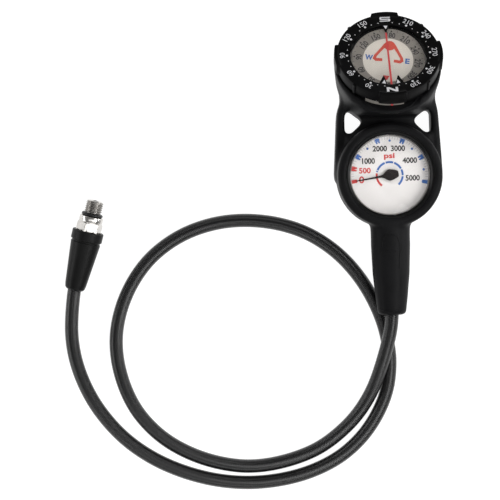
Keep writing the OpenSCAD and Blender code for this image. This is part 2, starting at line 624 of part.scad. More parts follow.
// Lens, wall and flange are one clear moulding, with a lug that reads the card from the side
module capsule_dome() color("#e6eef0", 0.4) module_frame() {
    rotate_extrude($fn = 96) polygon([[0, lens_low_w], [capsule_r - capsule_wall, lens_low_w],
        [capsule_r - capsule_wall, -capsule_d], [capsule_r, -capsule_d], [capsule_r, flange_low_w],
        [flange_r, flange_low_w], [flange_r, flange_top_w], [capsule_r, flange_top_w],
        [capsule_r, groove_w[0]], [groove_r, groove_w[0]], [groove_r, groove_w[1]], [capsule_r, groove_w[1]],
        [capsule_r, lens_top_w - 0.6], [capsule_r - 0.6, lens_top_w], [0, lens_top_w]]);
    bezel_sector(270 - module_turn, 31, [[flange_r - 0.2, flange_low_w], [flange_r + 1.8, flange_low_w],
        [flange_r + 1.8, flange_top_w - 0.3], [flange_r - 0.2, flange_top_w - 0.3]]);
}
module capsule_back() color("#e9e9e6") module_frame() difference() {
    translate([0, 0, -capsule_d]) rotate_extrude() polygon([[0, 0], [capsule_r - capsule_wall - fit, 0],
        [capsule_r - capsule_wall - fit, 0.4], [capsule_r - capsule_wall - 0.9, 0.4],
        [capsule_r - capsule_wall - 0.9, 1.3], [capsule_r - capsule_wall - fit, 1.3],
        [capsule_r - capsule_wall - fit, back_t], [3, back_t], [3, back_t + 0.8], [0, back_t + 0.8]]);
    translate([0, 0, -capsule_d + 0.4]) cylinder(r = pin_r + 0.02, h = 5, $fn = 32);
    for (k = [0:3]) rotate([0, 0, 45 + k * 90]) translate([6, 0, -capsule_d - e])
        cylinder(r = 1.2, h = 3, $fn = 32);
    translate([0, -18, -capsule_d - e]) cylinder(r = 1.55, h = 3, $fn = 32);
}
module capsule_seal() color("#1b1b1b") module_frame() translate([0, 0, -capsule_d + 0.85])
    torus(capsule_r - capsule_wall - 0.45, 0.43);
module pivot_pin() color("#c9ccd0") module_frame() {
    top = -card_level - 1.4;
    translate([0, 0, -capsule_d + 0.5]) cylinder(r = pin_r, h = capsule_d - 0.5 + top - 1.4, $fn = 32);
    translate([0, 0, top - 1.4]) cylinder(r1 = pin_r, r2 = 0.06, h = 1.4, $fn = 32);
}
module compass_card() color("#f2f2f0") card_frame() rotate_extrude($fn = 96)
    polygon([[0, 0], [card_r, 0], [card_r, -2.8], [card_r - 0.7, -2.8], [card_r - 0.7, -0.8], [2.4, -0.8],
        [2.4, -3], [1.3, -3], [1.3, -0.9], [0, -0.9]]);
module jewel_cup() color("#7a1f2b") card_frame() difference() {
    translate([0, 0, -2.98]) cylinder(r = 1.28, h = 2.06, $fn = 32);
    translate([0, 0, -3.4]) cylinder(r1 = 1.15, r2 = 0.2, h = 2.15, $fn = 32);
}
module card_magnet() color("#6e7073") card_frame() translate([0, 0, -2.8]) pipe(8, 2.6, 1.98);
module diaphragm() color("#2a2a2a") module_frame() translate([0, 0, -capsule_d - diaphragm_t])
    cylinder(r = diaphragm_r, h = diaphragm_t);
module diaphragm_ring() color("#d8d8d4") module_frame()
    translate([0, 0, -capsule_d - diaphragm_t - diaphragm_ring_t])
    pipe(diaphragm_r + diaphragm_ring_out, diaphragm_r - diaphragm_ring_in, diaphragm_ring_t);
module fill_screw() color("#b9bcc0") module_frame() translate([0, -fill_screw_at, -capsule_d + fit])
    cylinder(r = fill_screw_r, h = back_t - 2 * fit, $fn = 32);

console_boot();
gauge_case();
relief_plug();
gauge_stem();
bourdon_tube();
tube_tip();
lower_plate();
upper_plate();
plate_pillars();
plate_screws();
hairspring();
gauge_dial();
lens_o_ring();
gauge_lens();
lens_ring();
pressure_needle();
pinion_arbor();
sector_gear();
sector_arbor();
tube_link();
swivel_nut();
air_spool();
spool_o_rings();
hose_stem();
stem_ferrule();
pressure_hose();
end_ferrule();
hose_protector();
port_fitting();
fitting_o_ring();
compass_bezel();
bezel_o_ring();
capsule_dome();
capsule_back();
capsule_seal();
pivot_pin();
compass_card();
card_magnet();
jewel_cup();
diaphragm();
diaphragm_ring();
fill_screw();
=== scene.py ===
"""Look of a two-gauge dive console on its braided hose.

The sections follow the object from the hose's end to the compass card. Sizes are millimetres in
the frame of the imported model, and MM turns them into metres."""
import math

import bmesh
import bpy
import numpy as np
from mathutils import Matrix, Vector
from mathutils.bvhtree import BVHTree


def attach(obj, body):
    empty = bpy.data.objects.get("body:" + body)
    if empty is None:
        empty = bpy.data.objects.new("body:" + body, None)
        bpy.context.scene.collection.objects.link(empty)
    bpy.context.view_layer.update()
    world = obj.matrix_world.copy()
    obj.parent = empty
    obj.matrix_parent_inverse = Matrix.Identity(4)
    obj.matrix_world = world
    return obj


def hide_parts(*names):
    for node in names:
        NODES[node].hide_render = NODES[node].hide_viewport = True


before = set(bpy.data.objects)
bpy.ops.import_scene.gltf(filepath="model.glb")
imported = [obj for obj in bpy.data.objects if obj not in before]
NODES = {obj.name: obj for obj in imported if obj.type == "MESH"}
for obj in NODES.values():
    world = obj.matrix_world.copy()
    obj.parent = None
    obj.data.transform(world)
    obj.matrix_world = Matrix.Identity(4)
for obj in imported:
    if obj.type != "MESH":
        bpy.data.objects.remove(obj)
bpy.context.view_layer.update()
MM = 0.001

# ---- camera ----
# It looks straight down from 1.2 m over the floor, and sees 320 mm of it.
CAMERA_AT = (-88.77, -45.25, 1200)
CAMERA_ROLL = -1.2
VIEW_WIDTH = 320
SENSOR = 36
camera_data = bpy.data.cameras.new("camera")
camera_data.sensor_width = SENSOR
camera_data.lens = SENSOR * CAMERA_AT[2] / VIEW_WIDTH
camera_data.clip_start = 0.05
camera = bpy.data.objects.new("camera", camera_data)
camera.location = [v * MM for v in CAMERA_AT]
camera.rotation_euler = (0, 0, math.radians(CAMERA_ROLL))
bpy.context.scene.collection.objects.link(camera)
bpy.context.scene.camera = camera
bpy.context.scene.view_settings.view_transform = "Standard"

# ---- floor and light ----
# A plain floor that the camera, metal and glass see as white, under a dim sky. Four soft boxes stand
# round the object. One more lights it from above, one low from the right, and a small one the
# fitting. All sizes are metres.
FLOOR_HALF = 3.0
FLOOR_DROP = 5e-5
SKY = 0.2
LAMPS = (  # name, place, aim, width and height, watts
    ("lamp_left", (-0.78, -0.05, 0.22), (-0.09, -0.05, 0), (0.8, 0.2), 1.8),
    ("lamp_right", (0.36, -0.1, 0.48), (-0.09, -0.05, 0), (0.7, 0.2), 2.5),
    ("lamp_near", (-0.1, -0.66, 0.34), (-0.09, -0.05, 0), (0.6, 0.2), 1.1),
    ("lamp_far", (-0.05, 0.5, 0.45), (-0.09, -0.05, 0), (0.6, 0.2), 0.9),
    ("lamp_top", (0.09, -0.25, 0.62), (-0.19, -0.02, 0), (0.28, 0.28), 0.45),
    ("lamp_low", (0.55, 0.05, 0.13), (0.03, 0.05, 0.02), (0.4, 0.1), 1.1),
    ("lamp_fitting", (-0.2, -0.14, 0.5), (-0.2, -0.02, 0), (0.3, 0.14), 0.17))


def add(tree, kind, values=None, stops=None, **settings):
    """One node with its settings, its colour stops, and its inputs set or linked."""
    node = tree.nodes.new("ShaderNode" + kind)
    for key, value in settings.items():
        setattr(node, key, value)
    for key, value in (values or {}).items():
        if isinstance(value, bpy.types.Node):
            value = value.outputs[0]
        if isinstance(value, bpy.types.NodeSocket):
            tree.links.new(value, node.inputs[key])
        else:
            node.inputs[key].default_value = value
    if stops:
        band = node.color_ramp.elements
        while len(band) > 1:
            band.remove(band[-1])
        band[0].position, band[0].color = stops[0]
        for position, tone in stops[1:]:
            band.new(position).color = tone
    return node


def new_material(name):
    mat = bpy.data.materials.new(name)
    mat.use_nodes = True
    mat.node_tree.nodes.clear()
    return mat, mat.node_tree


bm = bmesh.new()
bmesh.ops.create_grid(bm, x_segments=1, y_segments=1, size=FLOOR_HALF)
bmesh.ops.translate(bm, verts=bm.verts, vec=(0, 0, -FLOOR_DROP))
floor_mesh = bpy.data.meshes.new("floor")
bm.to_mesh(floor_mesh)
bm.free()
floor = bpy.data.objects.new("floor", floor_mesh)
bpy.context.scene.collection.objects.link(floor)

# White paper: matt, and lit from within for eyes and mirrors only, so that shadows stay.
floor_mat, tree = new_material("floor_white")
paper = add(tree, "BsdfDiffuse", {"Color": (0.4, 0.4, 0.4, 1)})
shaded = add(tree, "BsdfDiffuse", {"Color": (0.2, 0.2, 0.2, 1)})
glow = add(tree, "Emission", {"Color": (1, 1, 1, 1), "Strength": 0.97})
white = add(tree, "AddShader", {0: shaded, 1: glow})
rays = add(tree, "LightPath").outputs
mirrored = add(tree, "Math", {0: rays["Is Glossy Ray"], 1: rays["Is Transmission Ray"]}, operation="MAXIMUM")
seen = add(tree, "Math", {0: rays["Is Camera Ray"], 1: mirrored}, operation="MAXIMUM")
add(tree, "OutputMaterial", {"Surface": add(tree, "MixShader", {0: seen, 1: paper, 2: white})})
floor_mesh.materials.append(floor_mat)

world = bpy.data.worlds.new("sky")
world.use_nodes = True
world.node_tree.nodes.clear()
sky = add(world.node_tree, "Background", {"Color": (1, 1, 1, 1), "Strength": SKY})
add(world.node_tree, "OutputWorld", {"Surface": sky})
bpy.context.scene.world = world

for name, place, aim, size, watts in LAMPS:
    data = bpy.data.lights.new(name, "AREA")
    data.shape = "RECTANGLE"
    data.size, data.size_y = size
    data.energy = watts
    data.spread = math.pi
    lamp = bpy.data.objects.new(name, data)
    lamp.location = place
    lamp.rotation_euler = (Vector(aim) - Vector(place)).to_track_quat("-Z", "Y").to_euler()
    bpy.context.scene.collection.objects.link(lamp)

# ---- hose ----
# A high-pressure hose with a braided nylon cover. It leaves the handle, makes one flat loop and
# passes under itself to its end fitting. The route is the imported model's.
HOSE_D = 8.6
HOSE_SIDES = 24
HALVINGS = 4
ROUTE = [
    (0, -74, 16), (0, -88, 16), (-1.1, -98, 15.4), (-3.2, -107, 14), (-7, -120, 11.6),
    (-12.3, -134.5, 7.8), (-20.8, -149, 5), (-32.6, -161.6, 4.4), (-49, -173, 4.4), (-71, -180.6, 4.4),
    (-95, -182.9, 4.4), (-121, -177.5, 4.4), (-145, -165, 4.4), (-163, -146, 4.4), (-173, -122, 4.4),
    (-175, -97, 4.4), (-168, -72, 4.4), (-153, -50, 4.4), (-131, -34.5, 4.4), (-105, -27, 4.4),
    (-78, -27.5, 4.4), (-53, -35, 4.4), (-32, -49.5, 4.4), (-16.5, -68.5, 4.4), (-6.5, -89, 4.4),
    (-2, -107, 4.4), (-1.3, -123, 4.4), (-5, -141, 4.4), (-16.2, -161.2, 4.4), (-34.2, -178, 4.4),
    (-59.2, -189.1, 4.4), (-89, -193.4, 4.4), (-119, -190.1, 4.4), (-148.2, -179.4, 4.4),
    (-172, -162.8, 4.4), (-190, -140.5, 4.4), (-200.5, -116, 4.4), (-203.5, -93, 4.7), (-201, -68, 6.5),
    (-197.9, -56.5, 7.8)]


def finer(points):
    """One more point on the smooth curve between each two."""
    out = []
    last = len(points) - 1
    for i in range(last):
        a, b, c, d = (points[max(i - 1, 0)], points[i], points[i + 1], points[min(i + 2, last)])
        out += [b, (b + c) * (9 / 16) - (a + d) / 16]
    return out + [points[last]]


def along(points):
    """The distance from the first point to each."""
    out = [0.0]
    for a, b in zip(points, points[1:]):
        out.append(out[-1] + (b - a).length)
    return out


def tube(bm, points, radius, sides):
    """A closed tube along points. Its UV map is turns round it and millimetres along it."""
    run = along(points)
    layer = bm.loops.layers.uv.verify()
    side = Vector((1, 0, 0))
    angles = [2 * math.pi * k / sides for k in range(sides)]
    rings = []
    for i, point in enumerate(points):
        way = (points[min(i + 1, len(points) - 1)] - points[max(i - 1, 0)]).normalized()
        side = (side - way * side.dot(way)).normalized()
        other = way.cross(side)
        rings.append([bm.verts.new(point + radius * (side * math.cos(a) + other * math.sin(a)))
                      for a in angles])
    faces = []
    for i, (here, there) in enumerate(zip(rings, rings[1:])):
        for k in range(sides):
            after = (k + 1) % sides
            face = bm.faces.new((here[k], here[after], there[after], there[k]))
            for corner, (u, v) in zip(face.loops, ((k, i), (k + 1, i), (k + 1, i + 1), (k, i + 1))):
                corner[layer].uv = (u / sides, run[v])
            faces.append(face)
    faces += [bm.faces.new(rings[0][::-1]), bm.faces.new(rings[-1])]
    bmesh.ops.recalc_face_normals(bm, faces=faces)


def finish_piece(name, bm, mats, body, replaced=(), sharp=35):
    """Turns a bmesh in millimetres into a piece that rides on a body. Edges sharper than a number
    of degrees stay sharp."""
    bmesh.ops.scale(bm, vec=(MM, MM, MM), verts=bm.verts)
    for face in bm.faces:
        face.smooth = True
    for edge in bm.edges:
        if len(edge.link_faces) == 2:
            edge.smooth = edge.calc_face_angle(0) < math.radians(sharp)
    mesh = bpy.data.meshes.new(name)
    bm.to_mesh(mesh)
    bm.free()
    for mat in mats:
        mesh.materials.append(mat)
    obj = bpy.data.objects.new(name, mesh)
    bpy.context.scene.collection.objects.link(obj)
    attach(obj, body)
    if replaced:
        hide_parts(*replaced)
    return obj


def colour(value):
    """Linear colour of an sRGB hex value."""
    parts = [int(value[i:i + 2], 16) / 255 for i in (0, 2, 4)]
    return tuple(c / 12.92 if c <= 0.04045 else ((c + 0.055) / 1.055) ** 2.4 for c in parts) + (1,)


# Braided black nylon: crossing bundles of yarn that glint on their crowns over a dark ground. Their
# colour is painted lighter on the crowns as a painted highlight and darker in the hollows between
# them as painted shade. They are drawn 1.1 mm apart, coarser than real yarn, or they would not show.
BUNDLES_ROUND = 5.0
BUNDLES_PER_MM = 0.9
BRAID, tree = new_material("braided_nylon")
spread = add(tree, "SeparateXYZ", {0: add(tree, "UVMap")}).outputs
around = add(tree, "Math", {0: spread[0], 1: BUNDLES_ROUND}, operation="MULTIPLY")
length = add(tree, "Math", {0: spread[1], 1: BUNDLES_PER_MM}, operation="MULTIPLY")
crowns, waves = [], []
for slant in (1.0, -1.0):
    lane = add(tree, "Math", {0: length, 1: slant, 2: around}, operation="MULTIPLY_ADD")
    for turns, into in ((add(tree, "Math", {0: lane}, operation="FRACT"), crowns), (lane, waves)):
        phase = add(tree, "Math", {0: turns, 1: math.pi}, operation="MULTIPLY")
        into.append(add(tree, "Math", {0: phase}, operation="SINE"))
crossing = add(tree, "Math", {0: waves[0], 1: waves[1]}, operation="MULTIPLY")
over = add(tree, "Math", {0: crossing, 1: 0.0}, operation="GREATER_THAN")
under = add(tree, "Math", {0: 1.0, 1: over}, operation="SUBTRACT")
first = add(tree, "Math", {0: crowns[0], 1: over}, operation="MULTIPLY")
second = add(tree, "Math", {0: crowns[1], 1: under}, operation="MULTIPLY")
relief = add(tree, "Math", {0: first, 1: second}, operation="ADD")
where = add(tree, "TexCoord").outputs["Object"]
fibre = add(tree, "TexNoise", {"Vector": where, "Scale": 4.2 / MM, "Detail": 2.0})
fuzz = add(tree, "Math", {0: fibre, 1: 0.5}, operation="MULTIPLY")
height = add(tree, "Math", {0: relief, 1: fuzz}, operation="ADD")
# The yarn's colour follows its height: painted highlight on the crowns, painted shade in the hollows.
tone = add(tree, "ValToRGB", {"Fac": height},
           [(0.25, colour("010101")), (0.75, colour("060607")), (1.0, colour("0d0d0e"))])
bump = add(tree, "Bump", {"Height": height, "Strength": 0.5, "Distance": 0.25 * MM})
yarn = add(tree, "BsdfPrincipled", {"Base Color": tone, "Roughness": 0.22, "Normal": bump})
add(tree, "OutputMaterial", {"Surface": yarn})

route = [Vector(p) for p in ROUTE]
for _ in range(HALVINGS):
    route = finer(route)
bm = bmesh.new()
tube(bm, route, HOSE_D / 2, HOSE_SIDES)
hose = finish_piece("braided_hose", bm, [BRAID], "console", ("pressure_hose",), sharp=60)

# ---- hose protector ----
# A tapered rubber sleeve, moulded with a groove and a collar, pushed over the hose's crimped end.
# It grips the hose at its thin mouth and is open over the ferrule.
MERGE = 0.0001


def turn(degrees, axis):
    return Matrix.Rotation(math.radians(degrees), 4, axis)


def shift(x, y, z):
    return Matrix.Translation((x, y, z))


def fillet(points, steps=4):
    """Rounds the corners of a closed profile. Each point is (r, z) or (r, z, radius)."""
    out = []
    for i, point in enumerate(points):
        here = Vector(point[:2])
        radius = point[2] if len(point) > 2 else 0.2
        before = Vector(points[i - 1][:2]) - here
        after = Vector(points[(i + 1) % len(points)][:2]) - here
        half = before.angle(after) / 2
        if radius <= 0 or half > math.radians(88):
            out.append(tuple(here))
            continue
        reach = min(radius / math.tan(half), 0.45 * before.length, 0.45 * after.length)
        a = here + before.normalized() * reach
        b = here + after.normalized() * reach
        for k in range(steps + 1):
            t = k / steps
            out.append(tuple((1 - t) ** 2 * a + 2 * t * (1 - t) * here + t * t * b))
    return out


def lathe(bm, profile, place=Matrix(), steps=96, shut=True, start=0, sweep=360):
    """Spins a profile of (r, z) about the z axis of a place. A profile that is shut makes a solid,
    and one that isn't makes a sheet, which faces out where the profile goes down."""
    others = set(bm.verts)
    lean = turn(start, "Z")
    corners = [bm.verts.new(lean @ Vector((r, 0, z))) for r, z in profile]
    pairs = list(zip(corners, corners[1:])) + ([(corners[-1], corners[0])] if shut else [])
    edges = [bm.edges.new(pair) for pair in pairs if any(v.co.xy.length for v in pair)]
    bmesh.ops.spin(bm, geom=corners + edges, cent=(0, 0, 0), axis=(0, 0, 1), steps=steps,
                   angle=math.radians(sweep), use_merge=sweep == 360)
    bmesh.ops.remove_doubles(bm, verts=[v for v in bm.verts if v not in others], dist=MERGE)
    verts = [v for v in bm.verts if v not in others]
    bmesh.ops.transform(bm, matrix=place, verts=verts)
    if shut:
        bmesh.ops.recalc_face_normals(bm, faces=list({face for v in verts for face in v.link_faces}))


def moulded(name, dark, light, rough, grain=0.05, grains=2.6, clouds=0.06, specular=0.5):
    """Rubber, plastic or ink: broad changes of tone and sheen, and a fine grain. grains and clouds
    are counts per millimetre."""
    mat, tree = new_material(name)
    where = add(tree, "TexCoord").outputs["Object"]
    broad = add(tree, "TexNoise", {"Vector": where, "Scale": clouds / MM, "Detail": 4.0})
    fine = add(tree, "TexNoise", {"Vector": where, "Scale": grains / MM, "Detail": 2.0})
    tone = add(tree, "ValToRGB", {"Fac": broad}, [(0.3, colour(dark)), (0.7, colour(light))])
    low, high = rough - 0.05, rough + 0.06
    sheen = add(tree, "ValToRGB", {"Fac": broad}, [(0.25, (low, low, low, 1)), (0.75, (high, high, high, 1))])
    bump = add(tree, "Bump", {"Height": fine, "Strength": grain, "Distance": 0.2 * MM})
    body = add(tree, "BsdfPrincipled", {"Base Color": tone, "Roughness": sheen, "Normal": bump,
                                        "Specular IOR Level": specular})
    add(tree, "OutputMaterial", {"Surface": body})
    return mat


# Moulded nitrile rubber: near black and satin, with a grain too fine to see but in the gloss.
PROTECTOR = moulded("protector_rubber", "0c0c0c", "121212", 0.4, grain=0.06, specular=0.15)
END_AT = shift(-201, -68, 6.4826) @ turn(90 - 15.1, "Z") @ turn(90 - 6.147, "Y")

bm = bmesh.new()
lathe(bm, fillet([
    (4.6, 0, 0.3), (5.3, 0, 0.5), (6.3, 1.1, 0.9), (6.8, 3.6, 1.5),  # thin mouth round the hose
    (9.5, 30.9, 0.3), (9.0, 31.3, 0.2), (9.0, 32.1, 0.2),  # taper and groove
    (10, 32.5, 0.9), (10, 38.5, 1.8), (8.45, 38.5, 0.4),  # collar
    (8.3, 31.5, 0.2), (6.8, 31.5, 0.2), (6.8, 12, 0.2), (4.6, 12, 0.2)]), END_AT)  # bore
protector = finish_piece("rubber_protector", bm, [PROTECTOR], "console",
                         ("hose_protector",), sharp=40)

# ---- first-stage fitting ----
# Turned brass with bright plating: a chamfered hexagon, a shoulder, the seal's groove and a rolled
# 7/16 in thread of 20 turns an inch. It is crimped into the hose and screws into a first stage.
HEX_AF = 14.3
HEX_ROLL = 15
BACK_Z = 31.8
BORE_R, BACK_BORE_R = 2.4, 0.8
THREAD_R, THREAD_DEPTH = 5.556, 0.72
THREAD_FROM, THREAD_LEN, PITCH = 50.3, 8, 1.27
RUNOUT_R = 4.75
ROWS_PER_TURN = 12
ROUND = 96


def smoothstep(x):
    x = min(max(x, 0.0), 1.0)
    return x * x * (3 - 2 * x)


def loft(bm, rows):
    """Extrudes a closed row of points through each later row and back to the first. Returns the
    faces of each strip."""
    start = row = [bm.verts.new(p) for p in rows[0]]
    edges = [bm.edges.new(pair) for pair in zip(row, row[1:] + row[:1])]
    strips = []
    for points in rows[1:] + rows[:1]:
        made = bmesh.ops.extrude_edge_only(bm, edges=edges)["geom"]
        fresh = {part for part in made if isinstance(part, bmesh.types.BMVert)}
        edges = [part for part in made if isinstance(part, bmesh.types.BMEdge)]
        strips.append([edge.link_faces[0] for edge in edges])
        row = [next(edge.other_vert(vert) for edge in vert.link_edges if edge.other_vert(vert) in fresh)
               for vert in row]
        for vert, point in zip(row, points):
            vert.co = point
    bmesh.ops.remove_doubles(bm, verts=start + row, dist=MERGE)
    bmesh.ops.recalc_face_normals(bm, faces=[face for strip in strips for face in strip])
    return strips


def fitting_row(z, radius):
    """Points round the fitting at a height, with the radius as a function of the share of a turn."""
    shares = [k / ROUND for k in range(ROUND)]
    return [END_AT @ Vector((radius(s) * math.cos(2 * math.pi * s), radius(s) * math.sin(2 * math.pi * s), z))
            for s in shares]


def hexagon(limit):
    """Radius of the hexagon, no larger than a limit."""
    def radius(share):
        from_flat = (360 * share + 30 - HEX_ROLL) % 60 - 30
        return min(HEX_AF / 2 / math.cos(math.radians(from_flat)), limit)
    return radius


def thread(z):
    """Radius of the thread at a height: a rolled crest and root that fade out at both ends."""
    def radius(share):
        from_crest = abs(((z - THREAD_FROM) / PITCH - share) % 1.0 - 0.5) * 2
        full = THREAD_R - THREAD_DEPTH * smoothstep((from_crest - 0.12) / 0.76)
        ends = min(smoothstep((z - THREAD_FROM) / 1.0), smoothstep((THREAD_FROM + THREAD_LEN - z) / 1.3))
        return RUNOUT_R + (full - RUNOUT_R) * ends
    return radius


def metal(name, dark, light, rough, marks=0.9, scratch=0.03, stretch=(1, 1, 1)):
    """Turned, drawn, rolled or plated metal. marks is the count of tool marks per millimetre."""
    mat, tree = new_material(name)
    where = add(tree, "TexCoord").outputs["Object"]
    way = add(tree, "Mapping", {"Vector": where, "Scale": stretch})
    lines = add(tree, "TexNoise", {"Vector": way, "Scale": marks / MM, "Detail": 3.0})
    broad = add(tree, "TexNoise", {"Vector": where, "Scale": 0.22 / MM, "Detail": 3.0})
    tone = add(tree, "ValToRGB", {"Fac": broad}, [(0.3, colour(dark)), (0.7, colour(light))])
    low, high = rough * 0.8, rough * 1.3
    sheen = add(tree, "ValToRGB", {"Fac": lines}, [(0.3, (low, low, low, 1)), (0.7, (high, high, high, 1))])
    bump = add(tree, "Bump", {"Height": lines, "Strength": scratch, "Distance": 0.1 * MM})
    body = add(tree, "BsdfPrincipled", {"Base Color": tone, "Roughness": sheen, "Normal": bump,
                                        "Metallic": 1.0})
    add(tree, "OutputMaterial", {"Surface": body})
    return mat


# Chrome plate on turned brass: white and near mirror bright, with the lathe's marks just felt.
CHROME = metal("chrome", "cbc8c4", "d8d5d1", 0.2, marks=1.5, scratch=0.003)
# The same plate on the rolled thread, rougher, with its colour painted darker as painted shade for the
# thread's grooves.
SHADED_THREAD_PLATE = metal("thread_plating_shaded", "989591", "a29f9b", 0.32, marks=1.5, scratch=0.003)
# Moulded seal rubber: black, with the light gloss of silicone grease.
SEAL = moulded("seal_rubber", "0c0c0c", "121212", 0.35, grain=0.03, specular=0.35)

rows = [fitting_row(BACK_Z, lambda s: 2.5)]
for z, limit in ((BACK_Z, 7.2), (32.4, 8.2), (43.2, 8.24), (43.7, 8.0), (44.1, 7.7), (44.5, 7.3)):
    rows.append(fitting_row(z, hexagon(limit)))
for z, r in ((44.5, 7.25), (44.75, 7.45), (45.1, 7.6), (47.6, 7.6), (47.95, 7.45), (48.1, 7.2),
             (48.1, 4.6), (THREAD_FROM, 4.6)):
    rows.append(fitting_row(z, lambda s, r=r: r))
thread_start = len(rows)
thread_rows = int(THREAD_LEN / PITCH * ROWS_PER_TURN)
for i in range(thread_rows + 1):
    z = THREAD_FROM + (THREAD_LEN - 0.4) * i / thread_rows
    rows.append(fitting_row(z, thread(z)))
for z, r in ((58.3, 4.5), (58.3, 2.7), (58.0, BORE_R), (45.0, BORE_R), (44.6, BACK_BORE_R),
             (BACK_Z, BACK_BORE_R)):
    rows.append(fitting_row(z, lambda s, r=r: r))
bm = bmesh.new()
# The thread's faces take the darker copy of the plate, its painted shade.
for strip in loft(bm, rows)[thread_start:thread_start + thread_rows]:
    for face in strip:
        face.material_index = 1
fitting = finish_piece("threaded_fitting", bm, [CHROME, SHADED_THREAD_PLATE], "console",
                       ("port_fitting",), sharp=28)

SEAL_R, SEAL_AT, SEAL_Z = 1.08, 5.72, 49.2
angles = [2 * math.pi * k / 20 for k in range(20)]
bm = bmesh.new()
lathe(bm, [(SEAL_AT + SEAL_R * math.cos(a), SEAL_Z + SEAL_R * math.sin(a)) for a in angles], END_AT)
end_ring = finish_piece("fitting_seal", bm, [SEAL], "console", ("fitting_o_ring",), sharp=80)

# ---- console boot ----
# One black rubber moulding: gauge cup, leaning compass cup, two side arms and a tapered handle. It
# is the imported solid, remeshed and relaxed so that its forms flow together as they leave a mould.
VOXEL = 0.8
# Moulded rubber: near black, with a soft sheen and the fine grain of its mould.
BOOT = moulded("boot_rubber", "121213", "181819", 0.44, grain=0.10, grains=2.2, specular=0.055)

source = bpy.data.objects.new("boot_source", NODES["console_boot"].data.copy())
bpy.context.scene.collection.objects.link(source)
remesh = source.modifiers.new("remesh", "REMESH")
remesh.mode = "VOXEL"
remesh.voxel_size = VOXEL * MM
bpy.context.view_layer.update()
boot_mesh = bpy.data.meshes.new_from_object(source.evaluated_get(bpy.context.evaluated_depsgraph_get()))
bpy.data.objects.remove(source)
count = len(boot_mesh.vertices)
co = np.zeros(count * 3)
boot_mesh.vertices.foreach_get("co", co)
co = co.reshape(-1, 3) / MM
ends = np.zeros(len(boot_mesh.edges) * 2, np.int64)
boot_mesh.edges.foreach_get("vertices", ends)
ends = ends.reshape(-1, 2)
links = np.concatenate([ends, ends[:, ::-1]])
degree = np.bincount(links[:, 0], minlength=count)[:, None]


def relaxed(points):
    """The step that takes each vertex to the middle of its neighbours."""
    total = np.stack([np.bincount(links[:, 0], points[links[:, 1], axis], count) for axis in range(3)], 1)
    return total / degree - points


def band(values, low, high, soft):
    """One between two values, nothing outside them, with a soft change."""
    return np.clip((values - low) / soft, 0, 1) * np.clip((high - values) / soft, 0, 1)


for _ in range(6):  # takes out the voxels' steps and keeps the volume
    co += 0.5 * relaxed(co)
    co -= 0.52 * relaxed(co)
x, y, z = co.T
valley = band(y, 18, 58, 6) * np.clip((z - 4) / 6, 0, 1) * (np.hypot(x, y) > 31.5)
shoulder = band(y, -44, -26, 5) * band(np.abs(x), -1, 22, 4)
flanks = band(y, -6, 60, 6) * (np.abs(x) > 27) * np.clip((z - 6) / 5, 0, 1) * 0.6
weight = np.clip(np.maximum(np.maximum(valley, shoulder), flanks), 0, 1)[:, None]
for _ in range(26):  # rounds the valley between the cups, the handle's shoulder and the flanks
    co += 0.5 * weight * relaxed(co)
for _ in range(2):
    co += 0.4 * relaxed(co)
WAIST_Y, WAIST_LEFT, WAIST_RIGHT = 48.5, 2.0, 1.2
waist = np.exp(-((co[:, 1] - WAIST_Y) / 6) ** 2) * np.clip((np.abs(co[:, 0]) - 24) / 8, 0, 1)
co[:, 0] -= np.sign(co[:, 0]) * np.where(co[:, 0] < 0, WAIST_LEFT, WAIST_RIGHT) * waist
boot_mesh.vertices.foreach_set("co", (co * MM).ravel())
for polygon in boot_mesh.polygons:
    polygon.use_smooth = True
boot_mesh.materials.clear()
boot_mesh.materials.append(BOOT)
boot = bpy.data.objects.new("rubber_boot", boot_mesh)
bpy.context.scene.collection.objects.link(boot)
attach(boot, "console")
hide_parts("console_boot")

# ---- moulded lines ----
# Fine raised beads of the boot's own rubber, left by grooves in the mould: a frame on the handle's
# back, a line across it, one near the handle's end, and one along the lip under the compass.
LINES = (
    ([(-6.9, -48.7), (-5.8, -42.5), (-4.7, -38.2), (-3.5, -37.7), (2.4, -37.9), (3.4, -38.9), (4.5, -41.3),
      (5.2, -45.6), (4.8, -54.2), (4.4, -59)], 0.38),
    ([(-3.7, -47.8), (2.7, -48)], 0.38),
    ([(-8.1, -83.9), (-6.4, -84.9), (-4.1, -85.4), (-0.2, -85.6), (3.6, -85.2), (5.1, -84.4)], 0.34),
    ([(-18.2, 48.6), (-15.8, 45), (-11.9, 41.5), (-5.9, 39.3), (0.1, 38.7), (6.6, 39.3), (12.6, 41.9),
      (16.7, 45.9), (19.8, 48.6)], 0.5))
LINE_STEP, LINE_SIDES, ABOVE_BOOT = 0.6, 8, 80

skin = BVHTree.FromPolygons([Vector(c) for c in co], [tuple(f.vertices) for f in boot_mesh.polygons])
bm = bmesh.new()
for path, thick in LINES:
    spots = []
    for (ax, ay), (bx, by) in zip(path, path[1:]):
        steps = max(2, int(math.hypot(bx - ax, by - ay) / LINE_STEP))
        spots += [(ax + (bx - ax) * t / steps, ay + (by - ay) * t / steps) for t in range(steps)]
    spots.append(path[-1])
    for _ in range(3):
        spots = spots[:1] + [((a[0] + 2 * b[0] + c[0]) / 4, (a[1] + 2 * b[1] + c[1]) / 4)
                             for a, b, c in zip(spots, spots[1:], spots[2:])] + spots[-1:]
    hits = [skin.ray_cast(Vector((u, v, ABOVE_BOOT)), Vector((0, 0, -1)))[0] for u, v in spots]
    tube(bm, [hit - Vector((0, 0, thick * 0.3)) for hit in hits if hit], thick, LINE_SIDES)
finish_piece("moulded_lines", bm, [BOOT], "console")

# ---- gauge lens and dial ----
# A clear window under a black ring that screws into the case. The dial is a printed plate, with a
# thin grey ring round it that slopes up to the window, its grey partly painted shade at the dial's rim.
GAUGE_STEPS = 192


